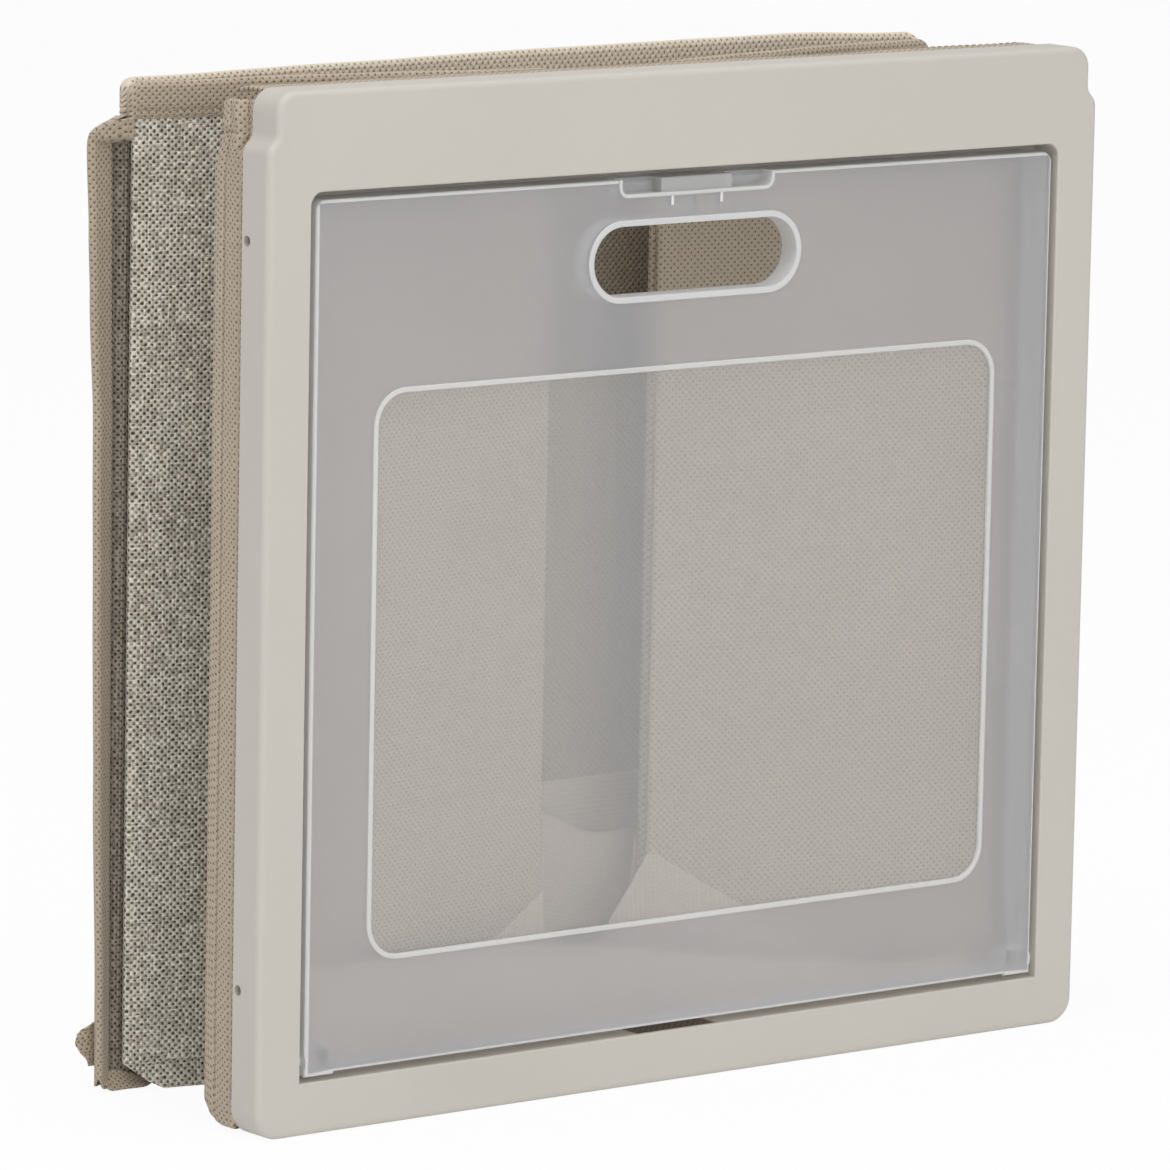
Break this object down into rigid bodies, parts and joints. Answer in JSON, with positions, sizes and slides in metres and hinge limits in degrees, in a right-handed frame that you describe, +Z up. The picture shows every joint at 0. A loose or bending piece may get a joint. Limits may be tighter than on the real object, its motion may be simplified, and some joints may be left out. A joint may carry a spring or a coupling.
{
  "type": "foldable shoe storage box",
  "caption": "Foldable open-topped fabric storage box with a moulded front frame and a drop-down frosted door; the side walls fold in a V and it lies flat",
  "frame": {"origin": "under the middle of the folded box, on the surface that it stands on", "axes": "X to the right seen from the front, +Y towards the back, +Z up; the door faces -Y"},
  "size_m": [0.4104, 0.1054, 0.38],
  "materials": {
    "frame_plastic": "greige moulded plastic with a fine satin grain",
    "retainer_plastic": "plain moulded plastic",
    "frosted_plastic": "translucent frosted polypropylene, clearer in the window",
    "board": "stiff pressed board",
    "linen_cloth": "coarse two-tone linen-look weave",
    "binding_cloth": "beige embossed non-woven, stitched",
    "lining_cloth": "pale embossed non-woven"
  },
  "bodies": {
    "frame": {"front_frame": "frame_plastic", "fabric_retainer": "retainer_plastic", "left_collar": "binding_cloth", "right_collar": "binding_cloth", "top_collar": "binding_cloth", "floor_hem": "binding_cloth"},
    "door": {"door_panel": "frosted_plastic", "latch_tongue": "frosted_plastic"},
    "back": {"back_board": "board", "back_cover": "linen_cloth", "back_lining": "lining_cloth", "back_top_band": "binding_cloth", "left_corner_binding": "binding_cloth", "right_corner_binding": "binding_cloth"},
    "left_front_wall": {"left_front_board": "board", "left_front_cover": "linen_cloth", "left_front_lining": "lining_cloth", "left_front_top_band": "binding_cloth"},
    "left_front_gusset": {"left_front_floor_flap": "lining_cloth"},
    "left_rear_wall": {"left_rear_board": "board", "left_rear_cover": "linen_cloth", "left_rear_lining": "lining_cloth", "left_rear_top_band": "binding_cloth"},
    "left_rear_gusset": {"left_rear_floor_flap": "lining_cloth"},
    "right_front_wall": {"right_front_board": "board", "right_front_cover": "linen_cloth", "right_front_lining": "lining_cloth", "right_front_top_band": "binding_cloth"},
    "right_front_gusset": {"right_front_floor_flap": "lining_cloth"},
    "right_rear_wall": {"right_rear_board": "board", "right_rear_cover": "linen_cloth", "right_rear_lining": "lining_cloth", "right_rear_top_band": "binding_cloth"},
    "right_rear_gusset": {"right_rear_floor_flap": "lining_cloth"},
    "sill_flap": {"front_floor_flap": "lining_cloth"},
    "rear_flap_1": {"rear_floor_flap_1": "lining_cloth"},
    "rear_flap_2": {"rear_floor_flap_2": "lining_cloth"},
    "rear_flap_3": {"rear_floor_flap_3": "lining_cloth"}
  },
  "joints": [
    {"name": "box_unfold", "type": "hinge", "parent": "frame", "child": "left_front_wall", "pos_m": [-0.1902, -0.03068, 0.19], "axis": [0, 0, 1], "range_deg": [0, 77.5], "deforming": ["front_floor_flap", "rear_floor_flap_1", "rear_floor_flap_2", "rear_floor_flap_3", "left_front_floor_flap", "left_rear_floor_flap", "right_front_floor_flap", "right_rear_floor_flap"]},
    {"name": "left_mid_fold", "type": "hinge", "parent": "left_front_wall", "child": "left_rear_wall", "pos_m": [-0.02569, 0.00579, 0.19], "axis": [0, 0, -1], "range_deg": [0, 155]},
    {"name": "left_rear_corner", "type": "hinge", "parent": "left_rear_wall", "child": "back", "pos_m": [-0.1863, 0.04508, 0.19], "axis": [0, 0, 1], "range_deg": [0, 77.5]},
    {"name": "right_front_fold", "type": "hinge", "parent": "frame", "child": "right_front_wall", "pos_m": [0.1902, -0.03068, 0.19], "axis": [0, 0, -1], "range_deg": [0, 77.5]},
    {"name": "right_mid_fold", "type": "hinge", "parent": "right_front_wall", "child": "right_rear_wall", "pos_m": [0.02569, 0.00579, 0.19], "axis": [0, 0, 1], "range_deg": [0, 155]},
    {"name": "left_front_gusset_fold", "type": "hinge", "parent": "left_front_wall", "child": "left_front_gusset", "pos_m": [-0.18929, -0.03478, 0.0016], "axis": [0.9763, 0.2164, 0], "range_deg": [0, 90]},
    {"name": "left_rear_gusset_fold", "type": "hinge", "parent": "left_rear_wall", "child": "left_rear_gusset", "pos_m": [-0.02479, 0.00989, 0.0016], "axis": [-0.9763, 0.2164, 0], "range_deg": [0, 90]},
    {"name": "right_front_gusset_fold", "type": "hinge", "parent": "right_front_wall", "child": "right_front_gusset", "pos_m": [0.18929, -0.03478, 0.0016], "axis": [0.9763, -0.2164, 0], "range_deg": [0, 90]},
    {"name": "right_rear_gusset_fold", "type": "hinge", "parent": "right_rear_wall", "child": "right_rear_gusset", "pos_m": [0.02479, 0.00989, 0.0016], "axis": [-0.9763, -0.2164, 0], "range_deg": [0, 90]},
    {"name": "sill_flap_fold", "type": "hinge", "parent": "frame", "child": "sill_flap", "pos_m": [0, -0.03508, 0.0016], "axis": [-1, 0, 0], "range_deg": [0, 90]},
    {"name": "rear_flap_1_fold", "type": "hinge", "parent": "back", "child": "rear_flap_1", "pos_m": [0, 0.04728, 0.0016], "axis": [1, 0, 0], "range_deg": [0, 90]},
    {"name": "rear_flap_2_fold", "type": "hinge", "parent": "rear_flap_1", "child": "rear_flap_2", "pos_m": [0, 0.04683, 0.0967], "axis": [-1, 0, 0], "range_deg": [0, 180]},
    {"name": "rear_flap_3_fold", "type": "hinge", "parent": "rear_flap_2", "child": "rear_flap_3", "pos_m": [0, 0.04593, 0.0016], "axis": [1, 0, 0], "range_deg": [0, 180]},
    {"name": "door_hinge", "type": "hinge", "parent": "frame", "child": "door", "pos_m": [0, -0.04668, 0.02678], "axis": [1, 0, 0], "range_deg": [0, 90]}
  ],
  "couplings": [
    {"joint": "left_mid_fold", "follows": "box_unfold", "ratio": 2},
    {"joint": "left_rear_corner", "follows": "box_unfold", "ratio": 1},
    {"joint": "right_front_fold", "follows": "box_unfold", "ratio": 1},
    {"joint": "right_mid_fold", "follows": "box_unfold", "ratio": 2},
    {"joint": "left_front_gusset_fold", "follows": "box_unfold", "ratio": 1.1613},
    {"joint": "left_rear_gusset_fold", "follows": "box_unfold", "ratio": 1.1613},
    {"joint": "right_front_gusset_fold", "follows": "box_unfold", "ratio": 1.1613},
    {"joint": "right_rear_gusset_fold", "follows": "box_unfold", "ratio": 1.1613},
    {"joint": "sill_flap_fold", "follows": "box_unfold", "ratio": 1.1613},
    {"joint": "rear_flap_1_fold", "follows": "box_unfold", "ratio": 1.1613},
    {"joint": "rear_flap_2_fold", "follows": "box_unfold", "ratio": 2.3226},
    {"joint": "rear_flap_3_fold", "follows": "box_unfold", "ratio": 2.3226}
  ]
}
